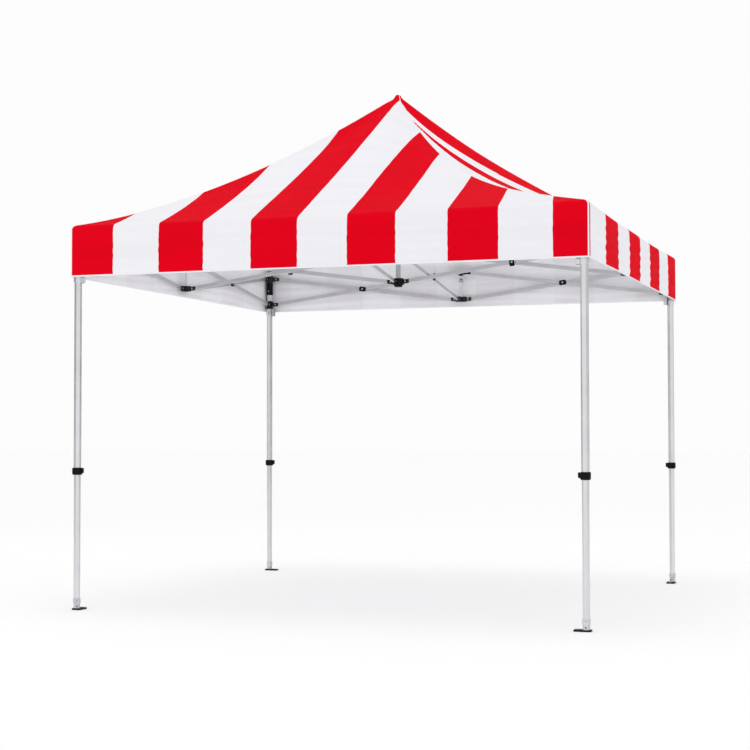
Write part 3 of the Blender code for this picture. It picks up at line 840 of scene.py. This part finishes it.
class CANOPY_OT_fittings(bpy.types.Operator):
    """Finish the connectors, hubs and sliders, and fit the posts, the black sleeves and the grey lugs."""
    bl_idname = "canopy.finish_fittings"
    bl_label = "Finish the fittings"

    def execute(self, context):
        sizes = context.scene.canopy_frame
        black = moulded("black_nylon", sizes.black)
        grey = moulded("grey_nylon", sizes.grey)
        bright = aluminium("rivet_metal", axis=None)
        post = aluminium("connector_with_post", [(1.9, PIVOT_LOW + 0.0185)])
        sliding = aluminium("slider_sleeve", [(1.965, 2.1)])
        shank = loft(circle(0.0085, 32), [
            (2.015, 0.0), (2.015, 0.97), (2.0165, 1.0), (2.116, 1.0), (2.1175, 0.96), (2.1175, 0.0)])
        bracket = moved(soft_block((0.0145, 0.0105, 0.011), 5.0), shift(0, 0, POST_BRACKET_Z))
        cap = moved(soft_block((0.0075, 0.0075, 0.003), 4.0), shift(0, 0, POST_CAP_Z))
        pieces = (("sleeve", shank, aluminium("leg_tube"), "aluminium"),
                  ("bracket", bracket, grey, "aluminium"), ("cap", cap, black, "black_plastic"))
        paint(black, "hub_top", "hub_low")
        for k, side in enumerate(SIDES):
            paint(post, f"{side}_connector_low")
            paint(black, f"{side}_connector_top")
            for name, form, finish, slot in pieces:
                solid_piece(f"{side}_post_{name}", [form], side_at(k, 0, LEG_AT, 0), finish,
                            f"{side}_connector_low")

        ring = sleeve(hexagon_outline(UPPER_FLATS + 0.0012), hexagon_outline(0.0468, 0.0012),
                      [(-0.031, 0.96), (-0.029, 1), (0.0245, 1), (0.0275, 0.95)])
        head = sleeve(hexagon_outline(UPPER_FLATS - 0.0004), hexagon_outline(0.0462, 0.0012),
                      [(-0.045, 0.94), (-0.043, 1), (0.042, 1), (0.045, 0.95)])
        # the lug is a small fork: two cheeks, a web towards the leg and a tray below
        cheek = soft_block((0.011, 0.0015, 0.027), 7.0)
        lug = [moved(cheek, shift(SLIDER_LUG_AT, end * 0.0078, 0)) for end in (-1, 1)]
        lug += [moved(soft_block((0.0018, 0.008, 0.0265), 7.0), shift(0.0245, 0, 0)),
                moved(soft_block((0.0105, 0.0078, 0.0015), 7.0), shift(SLIDER_LUG_AT, 0, -0.0255))]
        rivets = [moved(dome(0.0042, 0.0016), turn(angle) @ shift(HEAD_RIVET_AT, 0, 0) @ facing((1, 0, 0)))
                  for angle in (30, 210, -90, 90)]
        for k, corner in enumerate(CORNERS):
            slider, leg = f"{corner}_slider", f"{corner}_leg_upper"
            paint(sliding, slider)
            solid_piece(f"{slider}_sleeve", [ring], corner_at(k, PIVOT_LOW), black, slider)
            under = corner_at(k, SLIDER_LUG_Z) @ turn(180) @ shift(0, -PLANE, 0)
            solid_piece(f"{slider}_lug", lug, under, grey, slider)
            solid_piece(
                f"{corner}_head_sleeve", [head], corner_at(k, HEAD_SLEEVE_Z), black, leg)
            solid_piece(f"{corner}_head_rivets", rivets, corner_at(k, HEAD_RIVET_Z), bright, leg)
        return {"FINISHED"}


class CANOPY_OT_rivets(bpy.types.Operator):
    """Put a domed head on both ends of every pin in the forks."""
    bl_idname = "canopy.set_pin_heads"
    bl_label = "Set the pin heads"

    def execute(self, context):
        bright = aluminium("rivet_metal", axis=None)
        head = dome(0.0046, 0.0015)
        pair = [moved(head, shift(LUG, end * FORK_WIDE, 0) @ facing((0, end, 0))) for end in (-1, 1)]

        def set_on(name, body, at, *forks):
            """A pair on each fork, given by its turn and how far to the side its bar lies."""
            forms = [moved(form, turn(angle) @ shift(0, plane, 0)) for angle, plane in forks for form in pair]
            solid_piece(name, forms, at, bright, body)

        for k, corner in enumerate(CORNERS):
            set_on(f"{corner}_head_pins", f"{corner}_leg_upper", corner_at(k, PIVOT_TOP),
                   (180, PLANE), (90, -PLANE))
            set_on(f"{corner}_slider_pins", f"{corner}_slider", corner_at(k, PIVOT_LOW),
                   (180, -PLANE), (90, PLANE))
        levels = (("low", -PLANE, PIVOT_LOW), ("top", PLANE, PIVOT_TOP))
        for k, side in enumerate(SIDES):
            for name, plane, z in levels:
                set_on(f"{side}_{name}_pins", f"{side}_connector_{name}", side_at(k, 0, LEG_AT, z),
                       (0, plane), (180, -plane), (90, plane))
        for (name, plane, z), body in zip(reversed(levels), ("hub_top", "mast")):
            set_on(f"hub_{name}_pins", body, shift(0, 0, z), *((angle, plane) for angle in (270, 0, 90, 180)))
        return {"FINISHED"}


class CANOPY_OT_blocks(bpy.types.Operator):
    """Cover each crossing of two bars with its black block and light rivet."""
    bl_idname = "canopy.fit_crossing_blocks"
    bl_label = "Fit the crossing blocks"

    def execute(self, context):
        sizes = context.scene.canopy_frame
        black = moulded("black_nylon", sizes.black)
        bright = aluminium("rivet_metal", axis=None)
        block = loft(rounded_outline(sizes.block_long / 2, sizes.block_high / 2, 5.0, 40), [
            (0.0001, 0.0), (0.0001, 0.985), (0.0006, 1.0), (0.0056, 1.0), (0.007, 0.965),
            (0.0077, 0.9), (0.0079, 0.8), (0.0074, 0.45), (0.0074, 0.0)])
        rivet = moved(dome(0.0044, 0.0022, 24), shift(0, 0, RIVET_Z))
        height = (PIVOT_TOP + PIVOT_LOW) / 2
        slope = math.degrees(math.atan2(PIVOT_TOP - PIVOT_LOW, LEG_AT - 2 * LUG))
        face = PLANE + BAR_THICK / 2 + 0.0005

        def cover(crossing, end, body, at):
            solid_piece(f"{crossing}{end}", [block], at, black, body)
            solid_piece(f"{crossing}_rivet{end}", [rivet], at, bright, body)

        for k, side in enumerate(SIDES):
            for end, sign in (("a", 1), ("b", -1)):
                at = side_at(k, sign * LEG_AT / 2, LEG_AT - face, height)
                cover(f"{side}_block", f"_{end}", f"{side}_bar_down_{end}",
                      at @ turn(-sign * slope, "Y") @ facing((0, 1, 0)))
            at = side_at(k, -face, LEG_AT / 2, height)
            cover(f"{side}_arm_block", "", f"{side}_arm_down",
                  at @ turn(-slope, "X") @ facing((-1, 0, 0)) @ turn(90))
        return {"FINISHED"}


class CANOPY_OT_collars(bpy.types.Operator):
    """Fit the height collar on each leg, with its lever."""
    bl_idname = "canopy.fit_collars"
    bl_label = "Fit the collars"

    def execute(self, context):
        sizes = context.scene.canopy_frame
        black = moulded("black_nylon", sizes.black)
        half = sizes.collar_high / 2
        skin = rounded_outline(sizes.collar_wide / 2, sizes.collar_wide / 2, 3.6, 48)
        body = sleeve(hexagon_outline(LOWER_FLATS + 0.0008), skin, [
            (-half, 0.85), (-half + 0.0015, 0.89), (-half + 0.006, 0.975), (-half + 0.009, 1.0),
            (half - 0.006, 1.0), (half - 0.002, 0.965), (half, 0.9)])
        lever = moved(soft_block((0.0085, 0.0115, 0.0145), 4.5), shift(-LEVER_AT, 0, 0.003))
        thumb = moved(soft_block((0.005, 0.012, 0.0035), 3.5), shift(-THUMB_AT, 0, 0.015) @ turn(-18, "Y"))
        for k, corner in enumerate(CORNERS):
            # every lever points along the front and back, towards the middle
            way = turn(-90 * (k % 2))
            solid_piece(f"{corner}_collar_body", [body, moved(lever, way), moved(thumb, way)],
                        corner_at(k, COLLAR_Z), black, f"{corner}_leg_upper",
                        [f"{corner}_collar"])
        return {"FINISHED"}


class CANOPY_OT_feet(bpy.types.Operator):
    """Fit the feet: a thin plate that reaches inwards, and the pale sleeve with its wider ring."""
    bl_idname = "canopy.fit_feet"
    bl_label = "Fit the feet"

    def execute(self, context):
        sizes = context.scene.canopy_frame
        coat = moulded("foot_coat", [c * 1.6 for c in sizes.black], 0.36, 0.5, 600.0)
        pale = moulded("pale_nylon", sizes.pale, 0.34, 0.46)
        # painted shade: a near-black finish for the flat discs that stand for the shade inside the sleeve's
        # holes
        hole_shade = moulded("dark_hole", [c * 0.5 for c in sizes.black], 0.7, 0.8)
        plate = loft(rounded_outline(sizes.foot_long / 2, sizes.foot_wide / 2, 9.0, 64), [
            (0.0, 0.0), (0.0, 0.975), (0.001, 0.995), (0.0022, 1.0), (0.007, 1.0), (0.0088, 0.99),
            (0.0098, 0.965), (FOOT_TOP, 0.93), (FOOT_TOP, 0.0)])
        seat = FOOT_TOP + 0.0001
        ring = sleeve(hexagon_outline(LOWER_FLATS + 0.0006), hexagon_outline(FOOT_SLEEVE_FLATS, 0.0012), [
            (seat, 1.0), (0.0375, 1.0), (0.0391, FOOT_RING * 0.985), (0.0405, FOOT_RING),
            (0.064, FOOT_RING), (0.0662, FOOT_RING * 0.985), (0.0672, FOOT_RING * 0.95)])
        eyelet = sleeve(circle(0.0045, 24), circle(0.0085, 24), [(seat, 1.0), (0.0118, 1.0), (0.0132, 0.86)])
        plate, eyelet = moved(plate, shift(*FOOT_SHIFT)), moved(eyelet, shift(*EYELET_AT))
        # painted shade: thin flat discs where the sleeve has holes, for the shade inside them
        hole_shade_discs = [moved(dome(radius, 0.0003, 16), turn(angle) @ shift(out, 0, z) @ facing((1, 0, 0)))
                 for angle in (-90, 30, 150)
                 for out, z, radius in ((0.02065, 0.0535, 0.0026), (0.01815, 0.0225, 0.004))]
        for k, corner in enumerate(CORNERS):
            at, leg = corner_at(k, 0), f"{corner}_leg_lower"
            solid_piece(f"{corner}_foot_plate", [plate], at, coat, leg, [f"{corner}_foot"])
            solid_piece(f"{corner}_foot_sleeve", [ring, eyelet], at, pale, leg)
            solid_piece(f"{corner}_foot_hole_shade", hole_shade_discs, at, hole_shade, leg)
        return {"FINISHED"}


# Stage


class CANOPY_OT_stage(bpy.types.Operator):
    """Set the pale floor, the soft light and the camera."""
    bl_idname = "canopy.set_stage"
    bl_label = "Set the stage"

    def execute(self, context):
        scene = context.scene
        settings = scene.canopy_stage
        step = np.linspace(-settings.floor_size / 2, settings.floor_size / 2, 5)
        x, y = np.meshgrid(step, step)
        paint_on = floor_paint("pale_floor", settings.floor_colour, settings.floor_glow)
        self.stand("pale_floor", (x, y, np.zeros_like(x)), paint_on)

        world = bpy.data.worlds.new("soft_room")
        world.use_nodes = True
        tree = world.node_tree
        # the lens sees a white room, and the canopy is lit by a calmer one
        seen = add(tree, "ShaderNodeLightPath")["Is Camera Ray"]
        extra = reckon(tree, "MULTIPLY", seen, settings.world_seen - settings.world_light)
        feed(tree, tree.nodes["Background"], {
            0: (1.0, 1.0, 1.0, 1.0), 1: reckon(tree, "ADD", extra, settings.world_light)})
        scene.world = world

        # grey cards that only the metal's gloss sees, as in a photographer's studio
        for name, start, end, shade in (
                ("right_card", (12.5, 2.2), (4.0, 13.5), 0.28),
                ("left_card", (-4.0, 12.5), (-12.0, 4.5), 0.28),
                ("front_card", (-7.5, -6.5), (-4.0, -9.5), 0.5),
                ("side_card", (-11.0, 2.5), (-11.0, -5.5), 0.36)):
            share, z = np.meshgrid(np.linspace(0, 1, 4), np.linspace(-0.5, 7.0, 4))
            x, y = (a + (b - a) * share for a, b in zip(start, end))
            card = self.stand(name, (x, y, z), moulded(f"{name}_grey", (shade, shade, shade)))
            card.visible_camera = card.visible_diffuse = card.visible_shadow = False

        for name, at, size, power in (
                ("top_lamp", (-0.5, -0.9, 11.0), 5.0, settings.key_light),
                ("front_lamp", (-5.5, -9.5, 3.6), 4.0, settings.key_light * 0.35)):
            lamp = bpy.data.lights.new(name, "AREA")
            lamp.shape, lamp.size, lamp.energy = "DISK", size, power
            holder = link(name, lamp)
            holder.location = at
            aim = Vector((0, 0, 1.6)) - Vector(at)
            holder.rotation_euler = aim.to_track_quat("-Z", "Y").to_euler()
            holder.visible_camera = False

        camera = bpy.data.cameras.new("photo_camera")
        camera.lens = settings.focal_length
        camera.sensor_width = 36.0
        camera.shift_x = 0.1
        camera.clip_end = 500.0
        holder = link("photo_camera", camera)
        holder.location = (3.2023, -10.0671, 1.0296)
        holder.rotation_euler = (math.radians(90 + 2.007), 0.0, math.radians(21.053))
        scene.camera = holder
        scene.view_settings.view_transform = "Standard"
        return {"FINISHED"}

    def stand(self, name, grid, finish):
        """An object made of a grid of points, x, y and z, with one finish."""
        mesh = bpy.data.meshes.new(name)
        points = np.stack(grid, -1)
        mesh.from_pydata(points.reshape(-1, 3), [], grid_faces(*points.shape[:2]))
        mesh.materials.append(finish)
        return link(name, mesh)


MAKERS = (
    CANOPY_OT_stage, CANOPY_OT_valances, CANOPY_OT_roof, CANOPY_OT_tubes, CANOPY_OT_fittings,
    CANOPY_OT_rivets, CANOPY_OT_blocks, CANOPY_OT_collars, CANOPY_OT_feet)


class CANOPY_PT_panel(bpy.types.Panel):
    """The sidebar's list of what makes the canopy."""
    bl_idname = "CANOPY_PT_panel"
    bl_label = "Canopy"
    bl_space_type = "VIEW_3D"
    bl_region_type = "UI"
    bl_category = "Canopy"

    def draw(self, context):
        for maker in MAKERS:
            self.layout.operator(maker.bl_idname)


SETTINGS = (("canopy_cloth", CanopyCloth), ("canopy_frame", CanopyFrame), ("canopy_stage", CanopyStage))


def register():
    """Register the settings, the operators and the panel."""
    for name, group in SETTINGS:
        bpy.utils.register_class(group)
        setattr(bpy.types.Scene, name, PointerProperty(type=group))
    for maker in (*MAKERS, CANOPY_PT_panel):
        bpy.utils.register_class(maker)


def unregister():
    """Take away what register added."""
    for maker in (CANOPY_PT_panel, *reversed(MAKERS)):
        bpy.utils.unregister_class(maker)
    for name, group in SETTINGS:
        delattr(bpy.types.Scene, name)
        bpy.utils.unregister_class(group)


def main():
    """Make everything in order."""
    register()
    for maker in MAKERS:
        getattr(bpy.ops.canopy, maker.bl_idname.split(".")[1])()


if __name__ == "__main__":
    main()
